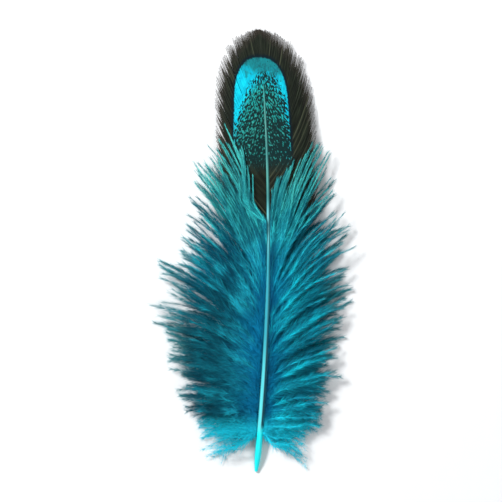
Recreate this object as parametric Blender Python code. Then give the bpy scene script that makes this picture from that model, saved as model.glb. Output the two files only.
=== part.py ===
"""A dyed pheasant body feather, lying face up on a flat surface.

The feather grew as one piece, so it is one solid: the shaft, the flat vane around its upper
third, and the locks of down along its lower part, all joined. X is across the feather, Y runs
along it from the quill to the tip of the vane, and Z is up. The origin is under the middle of
the feather's box, at the surface that it lies on.
"""

import math
import random

import bmesh
import bpy
from mathutils import Vector

MM = 0.001

FEATHER_LENGTH = 90 * MM

# The shaft bows to one side and arches off the surface, so that its two ends are lowest.
SHAFT_BOW = 2.15 * MM
SHAFT_LEAN = 0.3 * MM
SHAFT_ARCH = 4.4 * MM
QUILL_REST_HEIGHT = 0.3 * MM
TIP_REST_HEIGHT = 0.25 * MM
QUILL_RADIUS = 0.7 * MM
QUILL_END_RADIUS = 0.3 * MM
RACHIS_RADIUS = 0.42 * MM
SHAFT_TIP_RADIUS = 0.13 * MM
QUILL_TAPER_END = 0.045
SHAFT_END = 0.95
SHAFT_RINGS = 24
SHAFT_RING_CROWDING = 1.25
SHAFT_SIDES = 8

# The vane is a thin arched blade with a blunt round tip and a toothed edge.
VANE_START = 0.46
VANE_SHOULDER = 0.80
VANE_HALF_WIDTH = 10.2 * MM
VANE_TIP_HALF_WIDTH = 1.2 * MM
VANE_BLUNTNESS = 2.3
VANE_THICKNESS = 0.5 * MM
VANE_EDGE_THICKNESS = 0.22 * MM
VANE_CAMBER = 2.2 * MM
VANE_ROWS = 26
VANE_COLUMNS = 12
VANE_TOOTH_DEPTH = 0.7 * MM

# The down: locks in pairs along the shaft, an upper and a lower layer of them.
DOWN_START = 0.075
DOWN_END = 0.52
LOCK_ROWS = 13
LOCK_HALF_WIDTH = 2.5 * MM
LOCK_HALF_THICKNESS = 0.95 * MM
LOCK_TIP_FULLNESS = 0.06
LOCK_ROOT_PHASE = 0.12
LOCK_FULLNESS_POWER = 0.8
LOCK_RINGS = 7
LOCK_SIDES = 6
UPPER_TIP_HEIGHT = 1.7 * MM
UPPER_RISE = 1.4 * MM
LOWER_TIP_HEIGHT = 0.65 * MM
LOWER_LANDING = 0.55
LEFT, RIGHT = -1, 1
UPPER, LOWER = 1, 0
# Each has values in even steps from the lowest lock to the highest, the lengths in millimetres.
LOCK_LENGTH = {LEFT: (13, 19, 26, 28.5, 32, 17), RIGHT: (11, 15, 20, 25, 30, 15)}
LOCK_ROOT_ANGLE = (72, 56, 38, 23, 6, 2)
LOCK_TIP_ANGLE = (112, 92, 74, 59, 32, 16)
LOCK_LENGTH_SPREAD = 0.10
LOCK_ANGLE_SPREAD = 5
LOCK_SEED = 7

# The dense base of the down, where the locks crowd together and fill the space below the shaft.
CORE_START = 0.085
CORE_END = 0.60
CORE_HALF_WIDTH = 3.8 * MM
CORE_TOP_OVER_SHAFT = 0.5 * MM
CORE_BELOW_SURFACE = 0.8 * MM
CORE_END_FULLNESS = 0.15
CORE_FULLNESS_POWER = 0.7
CORE_RINGS = 14
CORE_SIDES = 10


def three_way(share, first, middle, last):
    """The value at a share from 0 to 1, on the parabola through three values."""
    return (
        first * (1 - share) * (1 - 2 * share)
        + middle * 4 * share * (1 - share)
        + last * share * (2 * share - 1)
    )


def mix(a, b, share):
    return a + (b - a) * share


def stepped(share, values):
    """The value at a share from 0 to 1 of the way through evenly spaced values."""
    place = share * (len(values) - 1)
    low = min(int(place), len(values) - 2)
    return mix(values[low], values[low + 1], place - low)


def swell(phase, least, power):
    """How full a body is along its length: least at phases 0 and 1, and 1 at the middle."""
    return least + (1 - least) * math.sin(math.pi * phase) ** power


def shaft_point(t):
    """The shaft's centreline: t is 0 at the quill's end and 1 at the tip of the vane."""
    across = 2 * t - 1
    x = SHAFT_LEAN * across - SHAFT_BOW * across**2
    z = SHAFT_ARCH * (1 - across**2) + mix(QUILL_REST_HEIGHT, TIP_REST_HEIGHT, t)
    return Vector((x, FEATHER_LENGTH * (t - 0.5), z))


def shaft_radius(t):
    if t < QUILL_TAPER_END:
        return mix(QUILL_END_RADIUS, QUILL_RADIUS, math.sin(t / QUILL_TAPER_END * math.pi / 2))
    along = (t - QUILL_TAPER_END) / (SHAFT_END - QUILL_TAPER_END)
    return three_way(along, QUILL_RADIUS, RACHIS_RADIUS, SHAFT_TIP_RADIUS)


def solid_from_rings(name, rings):
    """A closed solid lofted through rings of points, each with the same number of corners."""
    shape = bmesh.new()
    loops = [[shape.verts.new(point) for point in ring] for ring in rings]
    for low, high in zip(loops, loops[1:]):
        for i in range(len(low)):
            j = (i + 1) % len(low)
            shape.faces.new((low[i], low[j], high[j], high[i]))
    shape.faces.new(reversed(loops[0]))
    shape.faces.new(loops[-1])
    bmesh.ops.recalc_face_normals(shape, faces=shape.faces)
    bmesh.ops.triangulate(shape, faces=shape.faces)
    mesh = bpy.data.meshes.new(name)
    shape.to_mesh(mesh)
    shape.free()
    solid = bpy.data.objects.new(name, mesh)
    bpy.context.scene.collection.objects.link(solid)
    return solid


def ring_at(centre, ahead, half_width, half_height, sides):
    """Corners of a ring round a path that heads level along `ahead`."""
    sideways = Vector((ahead.y, -ahead.x, 0)).normalized()
    turns = (2 * math.pi * (i + 0.5) / sides for i in range(sides))
    return [
        centre + sideways * half_width * math.cos(a) + Vector((0, 0, half_height * math.sin(a)))
        for a in turns
    ]


def make_shaft():
    rings = []
    for i in range(SHAFT_RINGS):
        t = SHAFT_END * (i / (SHAFT_RINGS - 1)) ** SHAFT_RING_CROWDING
        ahead = shaft_point(t + 0.01) - shaft_point(t)
        rings.append(ring_at(shaft_point(t), ahead, shaft_radius(t), shaft_radius(t), SHAFT_SIDES))
    return solid_from_rings("feather", rings)


def vane_half_width(t):
    if t < VANE_SHOULDER:
        return VANE_HALF_WIDTH
    beyond = (t - VANE_SHOULDER) / (1 - VANE_SHOULDER)
    return VANE_HALF_WIDTH * (1 - beyond**VANE_BLUNTNESS) ** (1 / VANE_BLUNTNESS)


def vane_ring(t, row):
    """The vane's section at t: over the top from one edge to the other, and back below."""
    middle = shaft_point(t)
    tooth = VANE_TOOTH_DEPTH if row % 2 else 0
    half_width = max(vane_half_width(t) - tooth, VANE_TIP_HALF_WIDTH)
    camber = min(VANE_CAMBER, middle.z - TIP_REST_HEIGHT)
    top, bottom = [], []
    for column in range(VANE_COLUMNS + 1):
        across = 2 * column / VANE_COLUMNS - 1
        drop = camber * across**2 * (half_width / VANE_HALF_WIDTH) ** 2
        half_thickness = mix(VANE_THICKNESS, VANE_EDGE_THICKNESS, across**2) / 2
        at = middle + Vector((half_width * across, 0, -drop))
        top.append(at + Vector((0, 0, half_thickness)))
        bottom.append(at - Vector((0, 0, half_thickness)))
    return top + bottom[::-1]


def make_vane():
    rings = []
    for row in range(VANE_ROWS):
        # Rows crowd towards the tip, where the outline turns fastest.
        t = VANE_START + (1 - VANE_START) * math.sin(row / (VANE_ROWS - 1) * math.pi / 2)
        rings.append(vane_ring(t, row))
    return solid_from_rings("vane", rings)


def lock_height(start, q, layer):
    """An upper lock rises a little and droops. A lower one comes down and lies on the surface."""
    if layer == UPPER:
        return mix(start, UPPER_TIP_HEIGHT, q) + UPPER_RISE * 4 * q * (1 - q)
    return mix(start, LOWER_TIP_HEIGHT, math.sin(min(q / LOWER_LANDING, 1) * math.pi / 2))


def lock_path(side, share, layer, chance):
    """Points along the middle of one lock, from inside the shaft to the lock's tip."""
    root = mix(DOWN_START, DOWN_END, share)
    length = stepped(share, LOCK_LENGTH[side]) * MM
    length *= 1 + chance.uniform(-1, 1) * LOCK_LENGTH_SPREAD
    turn = chance.uniform(-1, 1) * LOCK_ANGLE_SPREAD
    root_angle = stepped(share, LOCK_ROOT_ANGLE) + turn
    tip_angle = stepped(share, LOCK_TIP_ANGLE) + turn
    start = shaft_point(root)
    point = start.copy()
    path = []
    for ring in range(LOCK_RINGS):
        q = ring / (LOCK_RINGS - 1)
        point.z = lock_height(start.z, q, layer)
        path.append(point.copy())
        angle = math.radians(mix(root_angle, tip_angle, q + 0.5 / (LOCK_RINGS - 1)))
        step = length / (LOCK_RINGS - 1)
        point += Vector((side * math.sin(angle), math.cos(angle), 0)) * step
    return path


def make_lock(name, side, share, layer, chance):
    """One lock: narrow at the shaft, widest past its middle, and drawn out to a point."""
    path = lock_path(side, share, layer, chance)
    rings = []
    for ring, centre in enumerate(path):
        q = ring / (LOCK_RINGS - 1)
        fullness = swell(mix(LOCK_ROOT_PHASE, 1, q), LOCK_TIP_FULLNESS, LOCK_FULLNESS_POWER)
        ahead = path[min(ring + 1, LOCK_RINGS - 1)] - path[max(ring - 1, 0)]
        width, thickness = LOCK_HALF_WIDTH * fullness, LOCK_HALF_THICKNESS * fullness
        rings.append(ring_at(centre, ahead, width, thickness, LOCK_SIDES))
    return solid_from_rings(name, rings)


def make_down():
    """Every lock, upper and lower, on both sides. The lower rows lie between the upper ones."""
    chance = random.Random(LOCK_SEED)
    locks = []
    for layer in (LOWER, UPPER):
        rows = LOCK_ROWS + layer
        for row in range(rows):
            share = (row + 0.5 * (1 - layer)) / LOCK_ROWS
            for side in (LEFT, RIGHT):
                locks.append(make_lock(f"lock_{len(locks):02d}", side, share, layer, chance))
    return locks


def make_core():
    rings = []
    for i in range(CORE_RINGS):
        along = i / (CORE_RINGS - 1)
        t = mix(CORE_START, CORE_END, along)
        fullness = swell(along, CORE_END_FULLNESS, CORE_FULLNESS_POWER)
        centre = shaft_point(t)
        ahead = shaft_point(t + 0.01) - centre
        top = centre.z + CORE_TOP_OVER_SHAFT * fullness
        thickness = (top + CORE_BELOW_SURFACE) / 2
        centre.z = top - thickness
        rings.append(ring_at(centre, ahead, CORE_HALF_WIDTH * fullness, thickness, CORE_SIDES))
    return solid_from_rings("down_core", rings)


def make_ground():
    """A block below the surface that the feather lies on, whose top flattens what rests."""
    side, depth = 2 * FEATHER_LENGTH, 10 * MM
    bpy.ops.mesh.primitive_cube_add(size=1, location=(0, 0, -depth / 2))
    ground = bpy.context.object
    ground.name = "ground"
    ground.scale = (side, side, depth)
    bpy.ops.object.transform_apply(location=False, rotation=False, scale=True)
    return ground


def as_helper(obj):
    obj.hide_render = True
    obj.display_type = "WIRE"


def apply_boolean(target, operation, **operands):
    cut = target.modifiers.new(operation.lower(), "BOOLEAN")
    cut.operation = operation
    cut.solver = "EXACT"
    for name, value in operands.items():
        setattr(cut, name, value)
    bpy.context.view_layer.objects.active = target
    bpy.ops.object.modifier_apply(modifier=cut.name)


def fill_sealed_hollows(obj):
    """Keeps the outermost shell, and so fills the gaps that crowded locks close off."""
    shape = bmesh.new()
    shape.from_mesh(obj.data)
    shells, seen = [], set()
    for first in shape.verts:
        if first in seen:
            continue
        shell, edge_of = [], [first]
        seen.add(first)
        while edge_of:
            vert = edge_of.pop()
            shell.append(vert)
            for edge in vert.link_edges:
                other = edge.other_vert(vert)
                if other not in seen:
                    seen.add(other)
                    edge_of.append(other)
        shells.append(shell)
    shells.sort(key=len)
    for shell in shells[:-1]:
        bmesh.ops.delete(shape, geom=shell, context="VERTS")
    shape.to_mesh(obj.data)
    shape.free()


def centre_on_origin(obj):
    """Puts the origin under the middle of the feather's box, at its lowest height."""
    points = [vert.co for vert in obj.data.vertices]
    low = Vector(min(p[axis] for p in points) for axis in range(3))
    high = Vector(max(p[axis] for p in points) for axis in range(3))
    shift = Vector((-(low.x + high.x) / 2, -(low.y + high.y) / 2, -low.z))
    for vert in obj.data.vertices:
        vert.co += shift


def dyed_keratin():
    material = bpy.data.materials.new("dyed_feather")
    material.use_nodes = True
    shader = material.node_tree.nodes["Principled BSDF"]
    shader.inputs["Base Color"].default_value = (0.01, 0.16, 0.24, 1)
    shader.inputs["Roughness"].default_value = 0.6
    shader.inputs["Metallic"].default_value = 0
    return material


def make_feather():
    feather = make_shaft()
    grown = bpy.data.collections.new("grown_on_shaft")
    bpy.context.scene.collection.children.link(grown)
    for part in [make_vane(), make_core(), *make_down()]:
        bpy.context.scene.collection.objects.unlink(part)
        grown.objects.link(part)
        as_helper(part)
    apply_boolean(feather, "UNION", operand_type="COLLECTION", collection=grown)
    ground = make_ground()
    as_helper(ground)
    apply_boolean(feather, "DIFFERENCE", object=ground)
    for helper in [*grown.objects, ground]:
        bpy.data.objects.remove(helper)
    fill_sealed_hollows(feather)
    centre_on_origin(feather)
    feather.data.materials.clear()
    feather.data.materials.append(dyed_keratin())
    return feather


for old in list(bpy.data.objects):
    bpy.data.objects.remove(old)
make_feather()
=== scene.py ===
import math
import random

import bpy
import numpy as np
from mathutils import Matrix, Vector


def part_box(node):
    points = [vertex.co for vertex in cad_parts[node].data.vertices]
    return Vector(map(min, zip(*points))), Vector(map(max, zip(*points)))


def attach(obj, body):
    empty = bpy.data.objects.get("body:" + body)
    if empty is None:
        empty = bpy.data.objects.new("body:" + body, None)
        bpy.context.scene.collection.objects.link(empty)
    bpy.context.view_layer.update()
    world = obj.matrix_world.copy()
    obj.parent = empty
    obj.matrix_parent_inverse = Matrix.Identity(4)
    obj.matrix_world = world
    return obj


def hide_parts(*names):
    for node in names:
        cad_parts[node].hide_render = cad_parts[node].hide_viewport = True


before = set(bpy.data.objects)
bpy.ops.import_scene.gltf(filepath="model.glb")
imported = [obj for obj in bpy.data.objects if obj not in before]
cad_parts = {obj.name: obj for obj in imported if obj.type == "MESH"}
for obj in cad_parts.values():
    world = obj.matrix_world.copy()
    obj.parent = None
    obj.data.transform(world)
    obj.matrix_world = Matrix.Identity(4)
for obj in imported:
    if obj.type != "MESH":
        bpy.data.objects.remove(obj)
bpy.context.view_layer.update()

MM = 0.001
LEFT, RIGHT = -1, 1
LOWER, UPPER = 0, 1

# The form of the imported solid, in the same driving values. Places along the feather are shares
# of its length from the quill's end, and angles are degrees out from the shaft.
FEATHER_LENGTH = 90 * MM
SHAFT_BOW = 2.15 * MM
SHAFT_LEAN = 0.3 * MM
SHAFT_ARCH = 4.4 * MM
QUILL_REST_HEIGHT = 0.3 * MM
TIP_REST_HEIGHT = 0.25 * MM
QUILL_RADIUS = 0.7 * MM
QUILL_END_RADIUS = 0.3 * MM
RACHIS_RADIUS = 0.42 * MM
SHAFT_TIP_RADIUS = 0.13 * MM
QUILL_TAPER_END = 0.045
SHAFT_END = 0.95
VANE_START = 0.46
VANE_SHOULDER = 0.80
VANE_HALF_WIDTH = 10.2 * MM
VANE_BLUNTNESS = 2.3
VANE_CAMBER = 2.2 * MM
DOWN_START = 0.075
DOWN_END = 0.52
LOCK_ROWS = 13
LOCK_HALF_WIDTH = 2.5 * MM
LOCK_HALF_THICKNESS = 0.95 * MM
LOCK_ROOT_PHASE = 0.12
LOCK_FULLNESS_POWER = 0.8
UPPER_TIP_HEIGHT = 1.7 * MM
UPPER_RISE = 1.4 * MM
LOWER_TIP_HEIGHT = 0.65 * MM
LOWER_LANDING = 0.55
LOCK_LENGTH = {LEFT: (13, 19, 26, 28.5, 32, 17), RIGHT: (11, 15, 20, 25, 30, 15)}
LOCK_ROOT_ANGLE = (72, 56, 38, 23, 6, 2)
LOCK_TIP_ANGLE = (112, 92, 74, 59, 32, 16)
LOCK_LENGTH_SPREAD = 0.10
LOCK_ANGLE_SPREAD = 5
LOCK_SEED = 7
DOWN_SEED = 64

# The shaft as it is seen: it sinks under the barbs before its end, and the quill's end is hollow.
SHAFT_SIDES = 16
SHAFT_STATIONS = 60
STATION_CROWDING = 1.15
SHAFT_FADE = (0.84, 0.925)
FADE_THINNING = 0.5
GROOVE_DEPTH = 0.12 * MM
GROOVE_HALF_WIDTH = 0.03 * MM
GROOVE_SPAN = (0.10, 0.72)
QUILL_WALL = 0.10 * MM
QUILL_HOLLOW = 1.2 * MM
HOLLOW_TAPER = 0.6

# Places closer than this are taken as one, and the solid's end is the corners within its depth.
NEARLY = 0.01 * MM
SOLID_END_DEPTH = 0.1 * MM

# The vane: one flat ribbon a barb, wide enough to overlap the next, and loose at its end. A barb
# turns from its root's angle to its end's over a length that falls from the lowest to the highest.
VANE_BARBS = 100
VANE_LAST_ROOT = 0.955
VANE_ROOT_ANGLE = (40, 34, 1)
VANE_END_ANGLE = (24, 19, -2)
VANE_ROOT_CROWDING = 0.93
VANE_STEPS = 30
VANE_PLAN_STEP = 0.25 * MM
VANE_TURNING = (21 * MM, 9 * MM)
VANE_SHORTENING = 0.025
VANE_STRAY = 0.0012
VANE_UNEVENNESS = 0.03
VANE_LIFT = 0.05 * MM
VANE_CLEARANCE = 0.08 * MM
VANE_SEED = 11
RIBBON_OVERLAP = 0.60
RIBBON_HALF_WIDTH = (0.05 * MM, 0.26 * MM)
RIBBON_HEIGHT = 0.07 * MM
RIBBON_THIN_FROM = 0.97
RAMUS_RADIUS = 0.035 * MM
RAMUS_TAPER = 1.25
LOOSE_FROM = 0.84
LOOSE_EARLIER = 0.05
LOOSE_OVER = 0.12

# The vane splits in a few places, where the barbs to both sides lean apart. The reach is in
# barbs, and the splits keep off the lowest and the highest of them.
SPLITS = 3
SPLIT_BARBS = (20, VANE_BARBS - 35)
SPLIT_REACH = 5
SPLIT_LEAN = 0.0055
SPLIT_START = 0.35

# The fringe: barbules that stand off the loose end of each barb of the vane.
FRINGE_BARBULES = 46
FRINGE_END = 0.995
FRINGE_LENGTH = 1.1 * MM
FRINGE_SPREAD = (14, 46)
FRINGE_LIFT = (-0.25, 0.35)
FRINGE_TAPER = 1.35
FRINGE_BARB_CHANCE = (0.6, 1.0)
FRINGE_CHANCE = (0.6, 1.15)
FRINGE_HALF_WIDTH = 0.03 * MM
FRINGE_HALF_DEPTH = 0.018 * MM

# The down: the barbs of one lock, which draw into tufts. A chance is the least and the most of
# an even draw, and the reach of a barb along its lock is the mean and the spread of its draw.
LOCK_BARBS = 12
LOCK_STEPS = 40
LOCK_FANNING = 0.35
LOCK_POINT = 0.14
LOCK_LEAST_FULLNESS = 0.8
TUFTS_PER_LOCK = 3
TUFTING = {LEFT: 0.42, RIGHT: 0.68}
TUFTING_CHANCE = (0.5, 1.25)
BARB_STEPS = 16
BARB_PLACE = (0.2, 0.8)
BARB_REACH = (0.92, 0.10)
BARB_REACH_LIMITS = (0.6, 1.02)
BARB_OVERSHOOT = 12 * MM
BARB_WAVE = 0.14
BARB_WAVE_TURNS = (4, 11)
BARB_WAVE_START = (0, 6)
BARB_STRAY = 0.26
BARB_STRAY_LIMIT = 0.5
BARB_STRAY_POWER = 1.6
BARB_SETTLED = 0.35
BARB_CLEARANCE = 0.12 * MM
CREST_POWER = 1.4
CREST_HEIGHT = (-0.7, 0.75)

# A barb's own rod, and its barbules. Their lengths in mm and their angles off the barb are in
# even steps from the lowest lock to the highest, and they close up towards the barb's end.
ROD_THICKNESS = 2.1
ROD_TAPER = 0.75
ROD_CORNERS = (90, -30, -150)
ROD_HAIR = (0.72, 1.0)
BARBULES = {LOWER: 250, UPPER: 255}
BARBULE_ALONG = (0.03, 0.995)
BARBULE_LENGTH = (1.9, 2.6, 2.9, 2.8, 2.3, 1.6)
BARBULE_LENGTH_CHANCE = (0.55, 1.2)
BARBULE_SWELL = {"least": 0.45, "skew": 0.8, "power": 0.7}
BARBULE_CLOSING = (1.15, 0.85)
BARBULE_SPREAD = (42, 30, 22, 18, 15, 13)
BARBULE_SPREAD_CHANCE = (0.35, 1.45)
BARBULE_HALF_WIDTH = {LOWER: 0.070 * MM, UPPER: 0.055 * MM}
BARBULE_HALF_DEPTH = 0.022 * MM
BARBULE_THINNING = 0.45
BARBULE_ROLL = 50
BARBULE_STUB = 0.08

# How far barbules and barbs keep off the shaft.
CLEAR_OF_SHAFT = 0.30 * MM
KEEP_OFF_RADII = 0.8
KEEP_OFF_SHAFT = 0.12 * MM
KEEP_OFF_SHARPNESS = 3

# A direction close to straight up, along which no barbule grows.
NEAR_UP = (0.05, 0.03, 0.99)

# How frayed a blade's corners are: the three of its base, and its point.
BLADE_FRAY = (0.0, 0.0, 0.0, 1.0)

# A barb has one strip of its piece's map: its rod in the first third, and then its barbules.
MAP_ROD = (0.02, 0.3)
MAP_BLADE_ACROSS = (0.32, 0.38, 0.38, 0.95)
MAP_BLADE_ROW = (0.5, 0.95, 0.05, 0.5)

# The wisps: thin stray barbs at the foot of the down. Their lengths and heights are in mm.
WISPS = 16
WISP_BARBULES = 40
WISP_ROOT = (0.080, 0.104)
WISP_ROOT_ANGLE = (88, 116)
WISP_TIP_ANGLE = (118, 154)
WISP_LENGTH = (6.0, 11.5)
WISP_TIP_HEIGHT = (0.2, 0.9)
WISP_SETTLED = 0.8
WISP_CREST = 0.6

# The foot of the down thins out to a haze, and no barb grows from the bare quill. The share is
# that of the barbules which are left on the lowest barbs.
FOOT_ROOT = 0.090
FOOT_THIN = 0.055
FOOT_FULL = 0.125
FOOT_SHARE = 0.22

# The parting: the down keeps off the left of the shaft where the vane begins. In mm. Each barb
# of a lock keeps off by the first share of the width, and up to the second share more.
PARTING_START = 49.8
PARTING_RISE = 5.5
PARTING_WIDTH = {LEFT: 2.6, RIGHT: 0.2}
PARTING_SHARES = (0.9, 1.1)

# The crown: bright barbs that rise over the foot of the vane to a slanting edge on each side.
# The edge is given by its places out from the shaft and up from the quill, in even steps from the
# lowest barb to the highest. Places and strays are in mm.
CROWN_BARBS = 64
CROWN_ROOT = (33.0, 50.0)
CROWN_TIP_OUT = {LEFT: (15.0, 11.6, 9.0, 6.4, 3.9), RIGHT: (13.2, 10.9, 6.8, 4.0, 1.4)}
CROWN_TIP_UP = {LEFT: (61.0, 65.5, 68.5, 67.0, 61.3), RIGHT: (64.5, 67.0, 63.8, 61.3, 58.2)}
CROWN_TUFT = {LEFT: 5, RIGHT: 2}
CROWN_TUFT_STRAY = {LEFT: 1.5, RIGHT: 0.45}
CROWN_ROOT_STRAY = 0.3
CROWN_TIP_STRAY = (0.15, 0.4)
CROWN_OUT_STRAY = 0.3
CROWN_SHORTENING = 0.04
CROWN_SHORT_BARB = 0.30
CROWN_SHORT_SHARE = 0.25
CROWN_BEND_ACROSS = (0.22, 0.36)
CROWN_BEND_UP = 0.55
CROWN_PLACE = (0.1, 0.9)
CROWN_PARTING_SHARES = (0.8, 0.9)
CROWN_PARTING_STRAY = 0.12
CROWN_LIFT = 0.45 * MM
CROWN_LIFT_SHAPE = (0.4, 2.4)
CROWN_LIFT_STRAY = 0.5
CROWN_CREST = (0.35, 1.0)
CROWN_BARBULES = 190
CROWN_BARBULE_ALONG = (0.10, 0.995)
CROWN_BARBULE_LENGTH = {LEFT: 1.25, RIGHT: 1.7}
CROWN_BARBULE_SWELL = {"least": 0.5, "skew": 0.9, "power": 1.0}
CROWN_BARBULE_SPREAD = 15
CROWN_BARBULE_CLOSING = (1.2, 0.8)
CROWN_SEED = 37

# How far below the crown's edge the barbs of the locks end at most, in mm.
BELOW_EDGE = {LEFT: 7.0, RIGHT: 2.0}


def three_way(share, first, middle, last):
    """The value at a share from 0 to 1, on the parabola through three values."""
    return (
        first * (1 - share) * (1 - 2 * share)
        + middle * 4 * share * (1 - share)
        + last * share * (2 * share - 1)
    )


def mix(a, b, share):
    return a + (b - a) * share


def stepped(share, values):
    """The value at a share from 0 to 1 of the way through evenly spaced values."""
    return np.interp(share, np.linspace(0, 1, len(values)), values)


def smooth(share):
    """Eases a share from 0 to 1, and holds it there outside."""
    share = np.clip(share, 0, 1)
    return share * share * (3 - 2 * share)


def swell(phase, least, power):
    return least + (1 - least) * np.clip(np.sin(math.pi * phase), 0, 1) ** power


def unit(vectors):
    return vectors / np.linalg.norm(vectors, axis=-1, keepdims=True)


def shaft_form(t):
    across = 2 * t - 1
    x = SHAFT_LEAN * across - SHAFT_BOW * across**2
    z = SHAFT_ARCH * (1 - across**2) + mix(QUILL_REST_HEIGHT, TIP_REST_HEIGHT, t)
    return np.stack([x, FEATHER_LENGTH * (t - 0.5), z], axis=-1)


def quill_end_of_solid():
    """The middle of the solid's lowest end along Y, which is where the quill ends."""
    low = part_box("feather")[0]
    corners = np.array([v.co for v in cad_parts["feather"].data.vertices])
    end = corners[corners[:, 1] < low.y + SOLID_END_DEPTH]
    return (end.min(axis=0) + end.max(axis=0)) / 2


SHAFT_START = quill_end_of_solid()
SHAFT_SHIFT = SHAFT_START - shaft_form(np.array(0.0))


def shaft_line(t):
    """The shaft's centreline in the frame: t is 0 at the quill's end and 1 at the tip."""
    return shaft_form(np.asarray(t, float)) + SHAFT_SHIFT


def shaft_radius(t):
    along = (t - QUILL_TAPER_END) / (SHAFT_END - QUILL_TAPER_END)
    body = three_way(along, QUILL_RADIUS, RACHIS_RADIUS, SHAFT_TIP_RADIUS)
    end = mix(QUILL_END_RADIUS, QUILL_RADIUS, np.sin(t / QUILL_TAPER_END * math.pi / 2))
    return np.where(t < QUILL_TAPER_END, end, body)


def place_on_feather(points):
    """Where points are in the feather's own terms: mm right of the shaft, and mm from the quill."""
    up = (points[:, 1] - SHAFT_START[1]) / FEATHER_LENGTH
    across = points[:, 0] - shaft_line(up)[:, 0]
    return across / MM, up * FEATHER_LENGTH / MM


class Growth:
    """Gathers the small closed shapes of one piece: their corners, triangles and marks."""

    def __init__(self, name, strips=1):
        self.name = name
        # How many barbs' strips the piece's map is cut into.
        self.strips = strips
        self.points, self.triangles, self.marks, self.places = [], [], {}, []
        self.total = 0

    def strip(self, number):
        """Where the map's strip of that number starts, and its width."""
        return number / self.strips, 1 / self.strips

    def add(self, points, triangles, places, **marks):
        """places are the corners' places on the piece's own map. A mark is one number a corner."""
        points = points.reshape(-1, 3)
        self.points.append(points)
        self.triangles.append(triangles + self.total)
        self.places.append(places.reshape(-1, 2))
        for mark, values in marks.items():
            values = np.broadcast_to(values, len(points))
            self.marks.setdefault(mark, []).append(values)
        self.total += len(points)

    def as_piece(self, material, slot, smooth_shaded):
        points = np.concatenate(self.points)
        triangles = np.concatenate(self.triangles)
        mesh = bpy.data.meshes.new(self.name)
        mesh.vertices.add(len(points))
        mesh.vertices.foreach_set("co", points.ravel())
        mesh.loops.add(triangles.size)
        mesh.loops.foreach_set("vertex_index", triangles.ravel())
        mesh.polygons.add(len(triangles))
        mesh.polygons.foreach_set("loop_start", np.arange(0, triangles.size, 3))
        mesh.update(calc_edges=True)
        across, up = place_on_feather(points)
        self.marks |= {"across": [across], "up": [up]}
        for mark, values in self.marks.items():
            layer = mesh.attributes.new(mark, "FLOAT", "POINT")
            layer.data.foreach_set("value", np.concatenate(values).astype(np.float32))
        places = np.concatenate(self.places)
        low, high = places.min(axis=0), places.max(axis=0)
        places = ((places - low) / (high - low))[triangles.ravel()]
        mesh.uv_layers.new(name="OFBake").uv.foreach_set("vector", places.ravel())
        if smooth_shaded:
            mesh.shade_smooth()
        mesh.materials.append(material)
        piece = bpy.data.objects.new(self.name, mesh)
        bpy.context.scene.collection.objects.link(piece)
        return finish_piece(piece)


def finish_piece(piece):
    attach(piece, "root")
    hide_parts("feather")
    return piece


def directions_along(path):
    """For each point of a path: ahead, to its right as seen from above, and up."""
    ahead = unit(np.gradient(path, axis=0))
    right = unit(np.stack([ahead[:, 1], -ahead[:, 0], np.zeros(len(path))], axis=1))
    return ahead, right, np.cross(right, ahead)


def prism(path, rights, ups):
    """A closed three-sided or four-sided rod: each ring is the path plus its corners' offsets."""
    sides = len(rights)
    _, right, up = directions_along(path)
    rings = [
        path + right * r[:, None] + up * u[:, None] for r, u in zip(rights, ups)
    ]
    points = np.stack(rings, axis=1)
    steps = np.arange(len(path) - 1)[:, None] * sides
    low = steps + np.arange(sides)
    low_next = steps + (np.arange(sides) + 1) % sides
    walls = [
        np.stack([low, low_next, low + sides], axis=-1),
        np.stack([low_next, low_next + sides, low + sides], axis=-1),
    ]
    caps = [[0, i + 1, i] for i in range(1, sides - 1)]
    last = (len(path) - 1) * sides
    caps += [[last, last + i, last + i + 1] for i in range(1, sides - 1)]
    triangles = np.concatenate([w.reshape(-1, 3) for w in walls] + [np.array(caps)])
    return points, triangles


def blades(roots, heading, length, half_width, half_depth):
    """Closed slim blades, one a root, each a small roof-shaped base drawn out to a point."""
    side = unit(np.cross(heading, NEAR_UP))
    over = np.cross(side, heading)
    corners = [
        roots + side * (half_width * math.cos(a)) + over * (half_depth * math.sin(a))
        for a in np.radians(ROD_CORNERS)
    ]
    points = np.stack([*corners, roots + heading * length[:, None]], axis=1)
    one = np.array([[0, 2, 1], [0, 1, 3], [1, 2, 3], [2, 0, 3]])
    triangles = (np.arange(len(roots))[:, None, None] * 4 + one).reshape(-1, 3)
    return points, triangles


def at_shares(where, vectors):
    """Vectors given along a path, read at other shares of it."""
    steps = np.linspace(0, 1, len(vectors))
    return np.stack([np.interp(where, steps, v) for v in vectors.T], axis=1)


def past_shaft(points, side):
    """How far points are out from the shaft's centreline, on its given side."""
    up = (points[:, 1] - SHAFT_START[1]) / FEATHER_LENGTH
    return side * (points[:, 0] - shaft_line(up)[:, 0])


def parting(up, side):
    """How far the down keeps from the shaft, beyond touching it, at heights in mm."""
    return PARTING_WIDTH[side] * MM * smooth((up - PARTING_START) / PARTING_RISE)


def parting_share(shares, chance):
    """How much of the parting a barb keeps off by, more often nearly all than little."""
    return shares[0] + shares[1] * math.sqrt(chance.uniform())


def longest_midway(where, least, skew, power):
    """A share of the full length, which barbules have along the middle of their barb."""
    return mix(least, 1, np.sin(math.pi * where**skew) ** power)


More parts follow.
